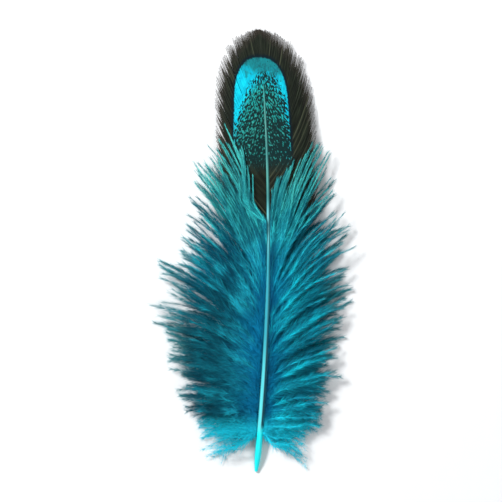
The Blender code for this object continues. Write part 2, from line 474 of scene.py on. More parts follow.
def grow_barbules(growth, path, column, where, length, spread, side, parted, chance, **marks):
    """Barbules down both sides of a barb. `where` is each one's share along the path."""
    layer = int(marks["layer"])
    count = len(where)
    ahead, right, up = (at_shares(where, v) for v in directions_along(path))
    turn = np.where(np.arange(count) % 2, 1.0, -1.0)
    spread = np.radians(spread * chance.uniform(*BARBULE_SPREAD_CHANCE, count))[:, None]
    roll = np.radians(BARBULE_ROLL * chance.uniform(-1, 1, count))[:, None]
    out = turn[:, None] * right * np.cos(roll) + up * np.sin(roll)
    heading = unit(ahead * np.cos(spread) + out * np.sin(spread))
    length = length * chance.uniform(*BARBULE_LENGTH_CHANCE, count)
    roots = at_shares(where, path)
    # A barbule that would cross the shaft stops beside it.
    here = past_shaft(roots, side)
    there = past_shaft(roots + heading * length[:, None], side)
    clear = CLEAR_OF_SHAFT + parted * parting((roots[:, 1] - SHAFT_START[1]) / MM, side)
    room = (here - clear) / np.maximum(here - there, NEARLY)
    length = np.where(there < clear, length * np.clip(room, BARBULE_STUB, 1), length)
    # What would grow into the surface that the feather lies on lies along it instead.
    sunk = roots[:, 2] + heading[:, 2] * length < BARBULE_HALF_DEPTH
    heading[sunk, 2] = (BARBULE_HALF_DEPTH - roots[sunk, 2]) / length[sunk]
    half_width = BARBULE_HALF_WIDTH[layer] * (1 - BARBULE_THINNING * smooth(where)[:, None])
    points, triangles = blades(roots, heading, length, half_width, BARBULE_HALF_DEPTH)
    # On the map each has a row of its own, so that no two of them overlap.
    row = (np.arange(count)[:, None] + MAP_BLADE_ROW) / count
    strip = column[0] + np.array(MAP_BLADE_ACROSS) * column[1]
    places = np.stack([np.broadcast_to(strip, row.shape), row], axis=-1)
    along = np.repeat(where, len(BLADE_FRAY))
    fray = np.tile(BLADE_FRAY, count)
    hair = np.repeat(chance.uniform(0, 1, count), len(BLADE_FRAY))
    growth.add(points, triangles, places, along=along, fray=fray, hair=hair, **marks)


def rod_places(count, sides, column):
    """Map places of a barb's own rod, in its strip of the map."""
    v = np.repeat(np.linspace(0, 1, count)[:, None], sides, axis=1)
    u = column[0] + column[1] * np.linspace(*MAP_ROD, sides)
    return np.stack([np.broadcast_to(u, v.shape), v], axis=-1)


def vane_half_width(t):
    beyond = np.clip((t - VANE_SHOULDER) / (1 - VANE_SHOULDER), 0, 1)
    return VANE_HALF_WIDTH * (1 - beyond**VANE_BLUNTNESS) ** (1 / VANE_BLUNTNESS)


def vane_height(across, t):
    """The height of the vane's arched surface, which droops to both sides of the shaft."""
    middle = shaft_line(t)[..., 2]
    camber = np.minimum(VANE_CAMBER, middle - TIP_REST_HEIGHT)
    return middle - camber * (across / VANE_HALF_WIDTH) ** 2


def vane_barb_plan(side, root, chance):
    """The plan of one vane barb out to the vane's outline: how far across, and the share along."""
    share = (root - VANE_START) / (VANE_LAST_ROOT - VANE_START)
    root_angle = three_way(share, *VANE_ROOT_ANGLE)
    end_angle = three_way(share, *VANE_END_ANGLE)
    across, t = [0.0], [root]
    turning = mix(*VANE_TURNING, share)
    while across[-1] < vane_half_width(t[-1]) and t[-1] < 1:
        gone = len(across) * VANE_PLAN_STEP / turning
        angle = math.radians(mix(root_angle, end_angle, min(gone, 1)))
        across.append(across[-1] + VANE_PLAN_STEP * math.sin(angle))
        t.append(t[-1] + VANE_PLAN_STEP * math.cos(angle) / FEATHER_LENGTH)
    cut = 1 - abs(chance.normal(0, VANE_SHORTENING))
    steps = np.linspace(0, cut, VANE_STEPS) * (len(across) - 1)
    across = np.interp(steps, np.arange(len(across)), across)
    t = np.interp(steps, np.arange(len(t)), t)
    return side * across, t


def vane_paths(side, chance):
    """The paths of all barbs of one side of the vane, lowest first."""
    paths = []
    q = np.linspace(0, 1, VANE_STEPS)
    splits = chance.choice(np.arange(*SPLIT_BARBS), SPLITS, replace=False)
    for i in range(VANE_BARBS):
        crowded = (i / (VANE_BARBS - 1)) ** VANE_ROOT_CROWDING
        root = mix(VANE_START, VANE_LAST_ROOT, crowded)
        across, t = vane_barb_plan(side, root, chance)
        # A barb near a split leans away from it, more towards its end.
        for split in splits:
            near = (i - split - 0.5) / SPLIT_REACH
            lean = math.copysign(max(0, 1 - abs(near)), near)
            t = t + SPLIT_LEAN * lean * smooth((q - SPLIT_START) / (1 - SPLIT_START))
        t = t + VANE_STRAY * chance.normal() * q**2
        middle = shaft_line(t)
        z = vane_height(across, t) + chance.normal(0, VANE_UNEVENNESS) * MM * q + VANE_LIFT
        z = np.maximum(z, VANE_CLEARANCE)
        paths.append(np.stack([middle[:, 0] + across, middle[:, 1], z], axis=1))
    return np.array(paths)


def ribbon_half_widths(paths):
    """A little over half the distance from each barb to the next, so that ribbons overlap."""
    gaps = np.diff(paths, axis=0)
    ahead = unit(np.gradient(paths[:-1], axis=1))
    apart = np.linalg.norm(np.cross(gaps, ahead), axis=2)
    apart = np.concatenate([apart, apart[-1:]])
    return np.clip(apart * RIBBON_OVERLAP, *RIBBON_HALF_WIDTH)


def grow_vane():
    chance = np.random.default_rng(VANE_SEED)
    growth = Growth("vane")
    q = np.linspace(0, 1, VANE_STEPS)
    for side in (LEFT, RIGHT):
        paths = vane_paths(side, chance)
        widths = ribbon_half_widths(paths)
        for path, width in zip(paths, widths):
            tone = chance.uniform()
            early = chance.uniform(-LOOSE_EARLIER, LOOSE_EARLIER)
            loose = smooth((q - LOOSE_FROM + early) / LOOSE_OVER)
            half = mix(width, RAMUS_RADIUS * (RAMUS_TAPER - q), loose)
            high = mix(RIBBON_HEIGHT, RAMUS_RADIUS, loose)
            high = high * np.where(q > RIBBON_THIN_FROM, 0.5, 1)
            none = np.zeros(VANE_STEPS)
            rights, ups = [half, none, -half, none], [none, -high / 2, none, high]
            points, triangles = prism(path, rights, ups)
            along = np.repeat(q, len(rights))
            places = plan_places(points)
            growth.add(points, triangles, places, along=along, fray=0.0, tone=tone)
            where = np.linspace(LOOSE_FROM - LOOSE_EARLIER, FRINGE_END, FRINGE_BARBULES)
            length = FRINGE_LENGTH * mix(*FRINGE_BARB_CHANCE, chance.uniform())
            length = length * (FRINGE_TAPER - where)
            grow_fringe(growth, path, where, length, tone, chance)
    return growth


def plan_places(points):
    """The vane's map is its plan, seen from above."""
    return points[..., :2]


def grow_fringe(growth, path, where, length, tone, chance):
    """The barbules of a vane barb's loose end, to both sides of it."""
    count = len(where)
    ahead, right, up = (at_shares(where, v) for v in directions_along(path))
    turn = np.where(np.arange(count) % 2, 1.0, -1.0)[:, None]
    spread = np.radians(chance.uniform(*FRINGE_SPREAD, count))[:, None]
    lift = chance.uniform(*FRINGE_LIFT, count)[:, None]
    heading = unit(ahead * np.cos(spread) + turn * right * np.sin(spread) + up * lift)
    length = length * chance.uniform(*FRINGE_CHANCE, count)
    roots = at_shares(where, path)
    sunk = roots[:, 2] + heading[:, 2] * length < RAMUS_RADIUS
    heading[sunk, 2] = (RAMUS_RADIUS - roots[sunk, 2]) / length[sunk]
    points, triangles = blades(roots, heading, length, FRINGE_HALF_WIDTH, FRINGE_HALF_DEPTH)
    # On the map the base leans back, so that it has some width there too.
    places = points.copy()
    places[:, 0] -= heading * FRINGE_HALF_WIDTH
    along = np.repeat(where, len(BLADE_FRAY))
    fray = np.tile(BLADE_FRAY, count)
    growth.add(points, triangles, plan_places(places), along=along, fray=fray, tone=tone)


def lock_line(side, share, layer, chance, count):
    """The middle of one lock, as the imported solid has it, in `count` points."""
    root = mix(DOWN_START, DOWN_END, share)
    length = stepped(share, LOCK_LENGTH[side]) * MM
    length *= 1 + chance.uniform(-1, 1) * LOCK_LENGTH_SPREAD
    turn = chance.uniform(-1, 1) * LOCK_ANGLE_SPREAD
    root_angle = stepped(share, LOCK_ROOT_ANGLE) + turn
    tip_angle = stepped(share, LOCK_TIP_ANGLE) + turn
    q = np.linspace(0, 1, count)
    middles = np.radians(mix(root_angle, tip_angle, (q[:-1] + q[1:]) / 2))
    start = shaft_line(root)
    step = length / (count - 1)
    x = start[0] + side * np.concatenate([[0], np.cumsum(np.sin(middles))]) * step
    y = start[1] + np.concatenate([[0], np.cumsum(np.cos(middles))]) * step
    if layer == UPPER:
        z = mix(start[2], UPPER_TIP_HEIGHT, q) + UPPER_RISE * 4 * q * (1 - q)
    else:
        landing = np.sin(np.minimum(q / LOWER_LANDING, 1) * math.pi / 2)
        z = mix(start[2], LOWER_TIP_HEIGHT, landing)
    return np.stack([x, y, z], axis=1)


def beside_shaft(path, side, parted=1.0):
    """Keeps a path on its own side of the shaft, and eases it there without a kink."""
    out = past_shaft(path, side) / MM
    least = (shaft_radius(0.5) * KEEP_OFF_RADII + KEEP_OFF_SHAFT) / MM
    least = least + parted * parting((path[:, 1] - SHAFT_START[1]) / MM, side) / MM
    eased = least + np.logaddexp(0, (out - least) * KEEP_OFF_SHARPNESS) / KEEP_OFF_SHARPNESS
    path[:, 0] += side * (np.maximum(eased, out) - out) * MM
    return path


def under_edge(path, side, below):
    """Ends a path where it would rise to the edge of the down over the vane, less `below` mm."""
    across, up = place_on_feather(path)
    edge = np.interp(side * across, CROWN_TIP_OUT[side][::-1], CROWN_TIP_UP[side][::-1])
    past = np.flatnonzero(up > edge - below)
    if len(past) == 0:
        return path
    end = past[0] / (len(path) - 1)
    return at_shares(np.linspace(0, end, len(path)), path)


def grow_lock(growth, line, side, share, layer, column, chance):
    """The barbs of one lock: they leave the shaft one above the other and draw into tufts."""
    row_gap = (DOWN_END - DOWN_START) / LOCK_ROWS
    root = mix(DOWN_START, DOWN_END, share)
    q = np.linspace(0, 1, BARB_STEPS)
    _, right, up = directions_along(line)
    for i in range(LOCK_BARBS):
        place = 2 * (i + chance.uniform(*BARB_PLACE)) / LOCK_BARBS - 1
        tuft = 2 * (i * TUFTS_PER_LOCK // LOCK_BARBS + 0.5) / TUFTS_PER_LOCK - 1
        crest = chance.uniform() ** CREST_POWER
        reach = np.clip(chance.normal(*BARB_REACH), *BARB_REACH_LIMITS)
        # The barbs at a lock's sides end sooner, so that it comes to a point.
        reach *= 1 - LOCK_POINT * place**2
        at = np.clip(q * reach, 0, 1)
        beyond = np.maximum(q * reach - 1, 0)[:, None]
        middle, aside, above = (at_shares(at, v) for v in (line, right, up))
        phase = mix(LOCK_ROOT_PHASE, 1, at)
        fullness = swell(phase, LOCK_LEAST_FULLNESS, LOCK_FULLNESS_POWER)
        turns = q * chance.uniform(*BARB_WAVE_TURNS) + chance.uniform(*BARB_WAVE_START)
        wave = BARB_WAVE * np.sin(turns) * q
        stray = np.clip(chance.normal(0, BARB_STRAY), -BARB_STRAY_LIMIT, BARB_STRAY_LIMIT)
        stray = stray * q**BARB_STRAY_POWER
        sway = mix(place, tuft, TUFTING[side] * q * chance.uniform(*TUFTING_CHANCE))
        width = LOCK_HALF_WIDTH * fullness * (sway + wave + stray) * -side * (1 + LOCK_FANNING * q)
        height = LOCK_HALF_THICKNESS * fullness * mix(*CREST_HEIGHT, crest)
        bundle = middle + aside * width[:, None] + above * height[:, None]
        rooted = root + place * row_gap / 2
        own_root = shaft_line(max(rooted, FOOT_ROOT))
        settled = smooth(q / BARB_SETTLED)[:, None]
        path = (middle - line[0] + own_root) * (1 - settled) + bundle * settled
        path = path + unit(line[-1] - line[-2]) * beyond * BARB_OVERSHOOT
        parted = parting_share(PARTING_SHARES, chance)
        below = BELOW_EDGE[side] * chance.uniform()
        path = under_edge(beside_shaft(path, side, parted), side, below)
        path[:, 2] = np.maximum(path[:, 2], BARB_CLEARANCE)
        strip = growth.strip(column + i)
        thin = smooth((rooted - FOOT_THIN) / (FOOT_FULL - FOOT_THIN))
        count = round(BARBULES[layer] * mix(FOOT_SHARE, 1, thin))
        grow_down_barb(growth, path, strip, side, share, layer, crest, count, parted, chance)


def grow_rod(growth, path, column, marks):
    """The barb's own tapering rod, which its barbules stand on."""
    q = np.linspace(0, 1, len(path))
    thick = RAMUS_RADIUS * ROD_THICKNESS * (1 - ROD_TAPER * q)
    turns = np.radians(ROD_CORNERS)
    rights = [thick * math.cos(a) for a in turns]
    ups = [thick * math.sin(a) for a in turns]
    points, triangles = prism(path, rights, ups)
    places = rod_places(len(path), len(turns), column)
    along = np.repeat(q, len(turns))
    hair = mix(*ROD_HAIR, marks["crest"])
    growth.add(points, triangles, places, along=along, fray=0.0, hair=hair, **marks)


def grow_down_barb(growth, path, column, side, share, layer, crest, count, parted, chance):
    """One barb of a lock: its rod, and its barbules, which are longest along its middle."""
    marks = {"tone": chance.uniform(), "crest": crest, "layer": float(layer)}
    grow_rod(growth, path, column, marks)
    where = np.sort(chance.uniform(*BARBULE_ALONG, count))
    length = stepped(share, BARBULE_LENGTH) * MM * longest_midway(where, **BARBULE_SWELL)
    spread = stepped(share, BARBULE_SPREAD) * mix(*BARBULE_CLOSING, where)
    grow_barbules(growth, path, column, where, length, spread, side, parted, chance, **marks)


def grow_wisps(growth, side, chance):
    """Thin stray barbs at the foot of the down, which droop past the bare quill."""
    q = np.linspace(0, 1, BARB_STEPS)
    for i in range(WISPS):
        root = mix(*WISP_ROOT, (i + 0.5) / WISPS)
        root_angle, tip_angle = chance.uniform(*WISP_ROOT_ANGLE), chance.uniform(*WISP_TIP_ANGLE)
        angle = np.radians(mix(root_angle, tip_angle, q))
        step = chance.uniform(*WISP_LENGTH) * MM / (BARB_STEPS - 1)
        start = shaft_line(root)
        x = start[0] + side * np.cumsum(np.sin(angle)) * step
        y = start[1] + np.cumsum(np.cos(angle)) * step
        z = mix(start[2], chance.uniform(*WISP_TIP_HEIGHT) * MM, smooth(q / WISP_SETTLED))
        path = beside_shaft(np.stack([x, y, z], axis=1), side)
        strip = growth.strip(growth.strips - WISPS + i)
        # They take the upper layer's colours, so that they don't get the painted shade of what lies
        # under.
        count = WISP_BARBULES
        grow_down_barb(growth, path, strip, side, 0.0, UPPER, WISP_CREST, count, 1.0, chance)


def bent(share, bend):
    """A share of the way along a curve, from 0 to 1: the bend is where its middle is drawn to."""
    return 2 * bend * share * (1 - share) + share**2


def grow_crown():
    """The barbs that frame the foot of the vane, each from its root to its place on the edge."""
    chance = np.random.default_rng(CROWN_SEED)
    growth = Growth("down_crown", strips=2 * CROWN_BARBS)
    q = np.linspace(0, 1, BARB_STEPS)
    for side in (LEFT, RIGHT):
        for i in range(CROWN_BARBS):
            if i % CROWN_TUFT[side] == 0:
                stray_out = chance.normal(0, CROWN_OUT_STRAY)
                stray_up = chance.normal(0, CROWN_TUFT_STRAY[side])
                tuft_parted = parting_share(CROWN_PARTING_SHARES, chance)
            share = (i + chance.uniform(*CROWN_PLACE)) / CROWN_BARBS
            tuft = (i // CROWN_TUFT[side] + 0.5) * CROWN_TUFT[side] / CROWN_BARBS
            root = mix(*CROWN_ROOT, share) + chance.normal(0, CROWN_ROOT_STRAY)
            short = abs(chance.normal(0, CROWN_SHORTENING))
            short += CROWN_SHORT_BARB * (chance.uniform() < CROWN_SHORT_SHARE)
            out = stepped(tuft, CROWN_TIP_OUT[side]) + stray_out
            out += chance.normal(0, CROWN_TIP_STRAY[0])
            tip = stepped(tuft, CROWN_TIP_UP[side]) + stray_up
            tip += chance.normal(0, CROWN_TIP_STRAY[1])
            bend = chance.uniform(*CROWN_BEND_ACROSS)
            reach = q * (1 - short)
            across = out * MM * bent(reach, bend)
            up = root + (tip - root) * bent(reach, CROWN_BEND_UP)
            t = up * MM / FEATHER_LENGTH
            middle = shaft_line(t)
            high = CROWN_LIFT * (CROWN_LIFT_SHAPE[0] + CROWN_LIFT_SHAPE[1] * reach * (1 - reach))
            high = high + chance.uniform(0, CROWN_LIFT_STRAY) * MM * q
            # Past the vane's edge they sink no farther, and lie over the looser down there.
            sinking = across - np.logaddexp(0, (across - VANE_HALF_WIDTH) / MM) * MM
            z = vane_height(sinking, t) + high
            path = np.stack([middle[:, 0] + side * across, middle[:, 1], z], axis=1)
            parted = tuft_parted + chance.uniform(0, CROWN_PARTING_STRAY)
            path = beside_shaft(path, side, parted)
            strip = growth.strip(i + CROWN_BARBS * (side == RIGHT))
            crest = chance.uniform(*CROWN_CREST)
            grow_crown_barb(growth, path, strip, side, crest, parted, chance)
    return growth


def grow_crown_barb(growth, path, column, side, crest, parted, chance):
    """One barb of the crown: its rod, and its barbules, which keep closer to it than a lock's."""
    marks = {"tone": chance.uniform(), "crest": crest, "layer": float(UPPER)}
    grow_rod(growth, path, column, marks)
    where = np.sort(chance.uniform(*CROWN_BARBULE_ALONG, CROWN_BARBULES))
    length = CROWN_BARBULE_LENGTH[side] * MM * longest_midway(where, **CROWN_BARBULE_SWELL)
    spread = CROWN_BARBULE_SPREAD * mix(*CROWN_BARBULE_CLOSING, where)
    grow_barbules(growth, path, column, where, length, spread, side, parted, chance, **marks)


def grow_down():
    """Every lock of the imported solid, in the order that its random lengths and turns are drawn."""
    draw = random.Random(LOCK_SEED)
    chance = np.random.default_rng(DOWN_SEED)
    names = {
        (LOWER, LEFT): "down_under_left",
        (LOWER, RIGHT): "down_under_right",
        (UPPER, LEFT): "down_over_left",
        (UPPER, RIGHT): "down_over_right",
    }
    # The upper layer has a row more, and the wisps grow with the lower one.
    rows = {LOWER: LOCK_ROWS, UPPER: LOCK_ROWS + 1}
    strips = {LOWER: rows[LOWER] * LOCK_BARBS + WISPS, UPPER: rows[UPPER] * LOCK_BARBS}
    growths = {key: Growth(name, strips[key[0]]) for key, name in names.items()}
    first_row = {LOWER: 0.5, UPPER: 0.0}
    for layer in (LOWER, UPPER):
        for row in range(rows[layer]):
            share = (row + first_row[layer]) / LOCK_ROWS
            for side in (LEFT, RIGHT):
                line = lock_line(side, share, layer, draw, LOCK_STEPS)
                growth = growths[(layer, side)]
                grow_lock(growth, line, side, share, layer, row * LOCK_BARBS, chance)
    for side in (LEFT, RIGHT):
        grow_wisps(growths[(LOWER, side)], side, chance)
    return growths.values()


def model_shaft(material):
    """The shaft, drawn out ring by ring from the cut end of the quill to a fine tip."""
    bpy.ops.object.select_all(action="DESELECT")
    stations = SHAFT_END * np.linspace(0, 1, SHAFT_STATIONS) ** STATION_CROWDING
    points, radii = shaft_line(stations), shaft_radius(stations)
    fade = smooth((stations - SHAFT_FADE[0]) / (SHAFT_FADE[1] - SHAFT_FADE[0]))
    points[:, 2] -= radii * fade
    radii = radii * (1 - FADE_THINNING * fade)
    bpy.ops.mesh.primitive_circle_add(
        vertices=SHAFT_SIDES,
        radius=radii[0],
        fill_type="NGON",
        location=points[0],
        rotation=(math.radians(90), 0, 0),
    )
    shaft = bpy.context.object
    shaft.name = "shaft"
    bpy.ops.object.transform_apply(location=True, rotation=True, scale=True)
    bpy.ops.object.mode_set(mode="EDIT")
    bpy.ops.mesh.select_mode(type="FACE")
    bpy.ops.mesh.select_all(action="SELECT")
    for here, there, thin, thick in zip(points, points[1:], radii, radii[1:]):
        step = tuple(there - here)
        bpy.ops.mesh.extrude_region_move(TRANSFORM_OT_translate={"value": step})
        bpy.ops.transform.resize(value=(thick / thin,) * 3, center_override=tuple(there))
    bpy.ops.mesh.select_all(action="SELECT")
    bpy.ops.mesh.normals_make_consistent(inside=False)
    hollow_quill(shaft, points[0])
    groove_underside(shaft)
    shaft.data.shade_smooth()
    bpy.ops.object.mode_set(mode="OBJECT")
    shaft.data.materials.append(material)
    # Its mark is how far right of the centreline each corner is, as a share of the radius.
    corners = np.array([v.co for v in shaft.data.vertices])
    up = np.clip((corners[:, 1] - SHAFT_START[1]) / FEATHER_LENGTH, 0, 1)
    aside = (corners[:, 0] - shaft_line(up)[:, 0]) / shaft_radius(up)
    across = shaft.data.attributes.new("across", "FLOAT", "POINT")
    across.data.foreach_set("value", aside.astype(np.float32))
    return finish_piece(shaft)


def hollow_quill(shaft, end):
    """The cut end of the quill shows its wall round a hollow."""
    bpy.ops.mesh.select_all(action="DESELECT")
    bpy.ops.object.mode_set(mode="OBJECT")
    for face in shaft.data.polygons:
        face.select = abs(face.center.y - end[1]) < NEARLY and len(face.vertices) > 4
    bpy.ops.object.mode_set(mode="EDIT")
    bpy.ops.mesh.inset(thickness=QUILL_WALL)
    inwards = (0, QUILL_HOLLOW, 0)
    bpy.ops.mesh.extrude_region_move(TRANSFORM_OT_translate={"value": inwards})
    bpy.ops.transform.resize(value=(HOLLOW_TAPER,) * 3, center_override=tuple(end + inwards))


def groove_underside(shaft):
    """The shallow groove along the underside of the shaft's solid part."""
    bpy.ops.mesh.select_mode(type="VERT")
    bpy.ops.mesh.select_all(action="DESELECT")
    bpy.ops.object.mode_set(mode="OBJECT")
    for vert in shaft.data.vertices:
        up = (vert.co.y - SHAFT_START[1]) / FEATHER_LENGTH
        middle = shaft_line(up)
        aside, below = abs(vert.co.x - middle[0]), middle[2] - vert.co.z
        beneath = aside < GROOVE_HALF_WIDTH and below > 0
        vert.select = beneath and GROOVE_SPAN[0] < up < GROOVE_SPAN[1]
    bpy.ops.object.mode_set(mode="EDIT")
    bpy.ops.transform.translate(value=(0, 0, GROOVE_DEPTH))


class Look:
    """A material under construction, with short ways to add its nodes."""

    def __init__(self, name):
        self.material = bpy.data.materials.new(name)
        self.material.use_nodes = True
        self.tree = self.material.node_tree
        self.shader = self.tree.nodes["Principled BSDF"]

    def fill(self, socket, value):
        if isinstance(value, bpy.types.NodeSocket):
            self.tree.links.new(value, socket)
        else:
            socket.default_value = value

    def mark(self, name):
        node = self.tree.nodes.new("ShaderNodeAttribute")
        node.attribute_name = name
        return node.outputs["Fac"]

    def maths(self, operation, a, b=0.0, c=0.0):
        node = self.tree.nodes.new("ShaderNodeMath")
        node.operation = operation
        for socket, value in zip(node.inputs, (a, b, c)):
            self.fill(socket, value)
        return node.outputs["Value"]

    def times(self, a, b):
        return self.maths("MULTIPLY", a, b)

    def plus(self, a, b):
        return self.maths("ADD", a, b)

    def minus(self, a, b):
        return self.maths("SUBTRACT", a, b)

    def scaled(self, value, factor, offset):
        return self.maths("MULTIPLY_ADD", value, factor, offset)

    def absolute(self, value):
        return self.maths("ABSOLUTE", value)

    def share(self, value, start, end, low=0.0, high=1.0):
        """A smooth share of the way that value is from start to end, held at both ends."""
        node = self.tree.nodes.new("ShaderNodeMapRange")
        node.interpolation_type = "SMOOTHSTEP"
        for socket, given in zip(node.inputs, (value, start, end, low, high)):
            self.fill(socket, given)
        return node.outputs["Result"]

    def blend(self, share, first, second, mode="MIX"):
        node = self.tree.nodes.new("ShaderNodeMix")
        node.data_type = "RGBA"
        node.blend_type = mode
        self.fill(node.inputs["Factor"], share)
        self.fill(node.inputs[6], first)
        self.fill(node.inputs[7], second)
        return node.outputs[2]

    def tinted(self, body, value, span, tint):
        """The body's colour, which turns to the tint over a span of the value."""
        return self.blend(self.share(value, *span), body, tint)

    def vector(self, x, y, z=0.0):
        node = self.tree.nodes.new("ShaderNodeCombineXYZ")
        for socket, value in zip(node.inputs, (x, y, z)):
            self.fill(socket, value)
        return node.outputs["Vector"]

    def noise(self, place, scale, detail=2.0, roughness=0.5):
        node = self.tree.nodes.new("ShaderNodeTexNoise")
        self.fill(node.inputs["Vector"], place)
        node.inputs["Scale"].default_value = scale
        node.inputs["Detail"].default_value = detail
        node.inputs["Roughness"].default_value = roughness
        return node.outputs["Fac"]

    def bump(self, height, distance, strength=1.0):
        node = self.tree.nodes.new("ShaderNodeBump")
        node.inputs["Strength"].default_value = strength
        node.inputs["Distance"].default_value = distance
        self.fill(node.inputs["Height"], height)
        self.fill(self.shader.inputs["Normal"], node.outputs["Normal"])

    def finish(self, colour, roughness, **constants):
        self.fill(self.shader.inputs["Base Color"], colour)
        self.fill(self.shader.inputs["Roughness"], roughness)
        for name, value in constants.items():
            self.shader.inputs[name.replace("_", " ")].default_value = value
        return self.material


def colour(red, green, blue):
    return (red, green, blue, 1.0)


# In the looks, `up` is mm from the quill's end and `across` is mm right of the shaft. A span says
# where a change starts and where it is full, and then its values there, if they aren't 0 and 1.
# The shaft: pale streaks at the quill, and bands of other colours farther up.
SHAFT_STREAK_STRETCH = 30
SHAFT_STREAK_SCALE = 90
SHAFT_STREAK_DEPTH = 0.02 * MM
SHAFT_STREAKS = colour(0.10, 0.68, 0.73), colour(0.14, 0.80, 0.84)
SHAFT_BANDS = (
    ((16.0, 30.0), colour(0.035, 0.38, 0.47)),
    # This band is the shaft's own paler colour, made lighter still as painted light against the
    # shade that the crown's barbs cast on it.
    ((42.0, 49.0), colour(0.150, 0.58, 0.63)),
    ((52.0, 56.0), colour(0.050, 0.25, 0.235)),
    ((56.0, 59.5), colour(0.080, 0.34, 0.29)),
    ((61.5, 64.5), colour(0.050, 0.25, 0.225)),
    ((66.5, 69.5), colour(0.070, 0.28, 0.24)),
    ((72.0, 78.0), colour(0.025, 0.32, 0.29)),
)
BARE_QUILL = (10.0, 7.5)
BARE_QUILL_COLOUR = colour(0.008, 0.88, 0.92)

# The lines along the shaft lie at shares of its radius: to the right, and on its left flank. The
# dark line is painted shade and the pale one a painted reflection.
SHADE_LINE_ASIDE = (0.02, 0.26)
SHADE_LINE_START = (7.5, 10.0)
SHADE_LINE_FADE = (38.0, 22.0, 0.5, 1.0)
SHADE_LINE_COLOUR = colour(0.003, 0.07, 0.10)
REFLECTION_LINE_ASIDE = (0.64, 0.80)
REFLECTION_LINE_START = (8.0, 11.0)
REFLECTION_LINE_FADE = (34.0, 24.0)
REFLECTION_LINE_COLOUR = colour(0.03, 0.22, 0.30)
FLANK_ASIDE = (-0.60, -0.95, 0.0, 0.6)
FLANK_COLOUR = colour(0.01, 0.16, 0.22)


def shaft_look():
    look = Look("dyed_shaft_with_painted_light")
    place = look.tree.nodes.new("ShaderNodeTexCoord").outputs["Object"]
    split = look.tree.nodes.new("ShaderNodeSeparateXYZ")
    look.fill(split.inputs["Vector"], place)
    up = look.scaled(split.outputs["Y"], 1 / MM, FEATHER_LENGTH / 2 / MM)
    run = look.vector(look.times(split.outputs["X"], SHAFT_STREAK_STRETCH), split.outputs["Y"])
    streak = look.noise(run, SHAFT_STREAK_SCALE)
    body = look.blend(look.share(streak, 0.3, 0.7), *SHAFT_STREAKS)
    for span, tint in SHAFT_BANDS:
        body = look.tinted(body, up, span, tint)
    # Above the quill, painted shade runs down the right of the shaft as a dark line, and beside it
    # runs a thin painted reflection.
    side = look.mark("across")
    line = look.times(look.share(side, *SHADE_LINE_ASIDE), look.share(up, *SHADE_LINE_START))
    line = look.times(line, look.share(up, *SHADE_LINE_FADE))
    body = look.blend(line, body, SHADE_LINE_COLOUR)
    pale = look.times(look.share(side, *REFLECTION_LINE_ASIDE), look.share(up, *REFLECTION_LINE_START))
    pale = look.times(pale, look.share(up, *REFLECTION_LINE_FADE))
    body = look.blend(pale, body, REFLECTION_LINE_COLOUR)
    body = look.tinted(body, up, BARE_QUILL, BARE_QUILL_COLOUR)
    body = look.tinted(body, side, FLANK_ASIDE, FLANK_COLOUR)
    look.bump(streak, SHAFT_STREAK_DEPTH)
    return look.finish(body, 0.36, Specular_IOR_Level=0.3, Coat_Weight=0.06, Coat_Roughness=0.2)


# The bright patch of the vane is an arch, and inside it is a flecked one. Each one's middle is a
# slope and the mm across where it would be at the quill's end.
PATCH_MIDDLE = (0.027, -2.74)
PATCH_ARCH = {"half_width": 5.0, "flare": 0.045, "top": 84.3, "height": 8.5, "power": 2.5}
FLECKED_MIDDLE = (0.10, -7.72)
FLECKED_ARCH = {"half_width": 5.6, "flare": 0.0, "top": 81.0, "height": 15.0, "power": 1.9}
PATCH_EDGE = (1.06, 0.94)
PATCH_FOOT = (60.0, 64.5)
RAGGED_EDGE = 0.24

# The flecks: how they are stretched and slanted, and how many of them are dark at each place.
FLECK_SCALE = 1.8
FLECK_STRETCH = 0.72
FLECK_SLANT = 0.55
FLECK_LEAN = -0.35
FLECK_DEPTH_SLANT = 0.45
FLECK_SIDES_APART = 9.0
FLECKS_NARROWER_ABOVE = (67.0, 81.0, 1.5, 2.4)
FLECKS_NARROWER_BELOW = (68.0, 58.0, 0.0, 0.5)
FLECKS_INSIDE = (1.22, 0.92, 0.25, 0.50)
FLECKS_AT_FOOT = (71.5, 67.5, 0.0, 0.47)
MORE_FLECKS_DOWN = (78.5, 66.0, 0.0, 0.062)
MORE_FLECKS_RIGHT = (-2.5, 1.5, 0.0, 0.042)
MORE_FLECKS_AT_FOOT = (68.5, 61.5, 0.0, 0.055)
FLECK_EDGE = (-0.03, 0.03)
FLECK_COLOUR = colour(0.004, 0.028, 0.030)

# Between the flecks: bright round them, duller at the arch's top and mottled there.
PATCH_BLUES = colour(0.0, 0.50, 0.68), colour(0.003, 0.70, 0.86)
ARCH_TOP_SLANT = 0.28
ARCH_TOP_RAGGED = 7.0
ARCH_TOP = (82.8, 85.8)
ARCH_TOP_COLOUR = colour(0.008, 0.25, 0.28)
MOTTLED_TOP = (82.0, 84.5, 0.0, 0.6)
MOTTLE_COLOUR = colour(0.008, 0.10, 0.13)
INWARD_TINTS = (
    ((1.0, 0.6), colour(0.012, 0.42, 0.40)),
    ((0.6, 0.1), colour(0.025, 0.27, 0.23)),
)
DOWNWARD_TINTS = (
    ((71.5, 68.5, 0.0, 0.6), colour(0.025, 0.27, 0.24)),
    ((66.0, 59.5), colour(0.020, 0.10, 0.095)),
)
DIM_COLOUR = colour(0.008, 0.085, 0.080)
PALER_COLOUR = colour(0.07, 0.60, 0.53)

